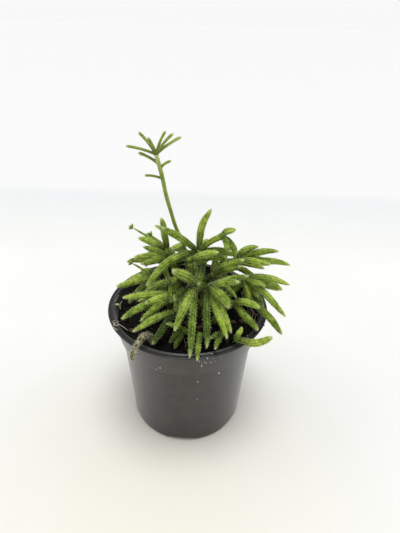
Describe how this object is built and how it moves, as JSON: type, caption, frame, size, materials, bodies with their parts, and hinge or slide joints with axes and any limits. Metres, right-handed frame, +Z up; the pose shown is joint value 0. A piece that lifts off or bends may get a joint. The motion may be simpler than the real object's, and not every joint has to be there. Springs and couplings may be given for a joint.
{
  "type": "potted mistletoe cactus",
  "caption": "Young mistletoe cactus with bristly finger-like green stems in whorls and one tall thin shoot, growing in a round dark plastic nursery pot of black soil",
  "frame": {"origin": "centre of the pot's underside, on the surface it stands on", "axes": "+Z up along the pot's axis; -Y towards the viewer, the plant's front; +X to the viewer's right"},
  "size_m": [0.1128, 0.1098, 0.196],
  "materials": {
    "pot_plastic": "injection-moulded dark grey polypropylene, satin",
    "potting_soil": null,
    "finger_skin": null,
    "shoot_skin": null,
    "dry_stem_bark": "dried brown stem with dead bristles"
  },
  "bodies": {
    "root": {"pot": "pot_plastic", "soil": "potting_soil", "dry_stem": "dry_stem_bark", "tall_shoot": "shoot_skin", "spray_top": "finger_skin", "spray_middle": "finger_skin", "spray_front": "finger_skin", "spray_left_front": "finger_skin", "spray_left_low": "finger_skin", "spray_left_back": "finger_skin", "spray_right": "finger_skin", "spray_right_low": "finger_skin", "spray_right_front": "finger_skin", "spray_right_back": "finger_skin", "spray_back": "finger_skin", "spray_back_left": "finger_skin", "spray_back_right": "finger_skin", "sprig_left": "finger_skin", "sprig_middle": "finger_skin", "sprig_front": "finger_skin", "sprig_right": "finger_skin"}
  },
  "joints": []
}
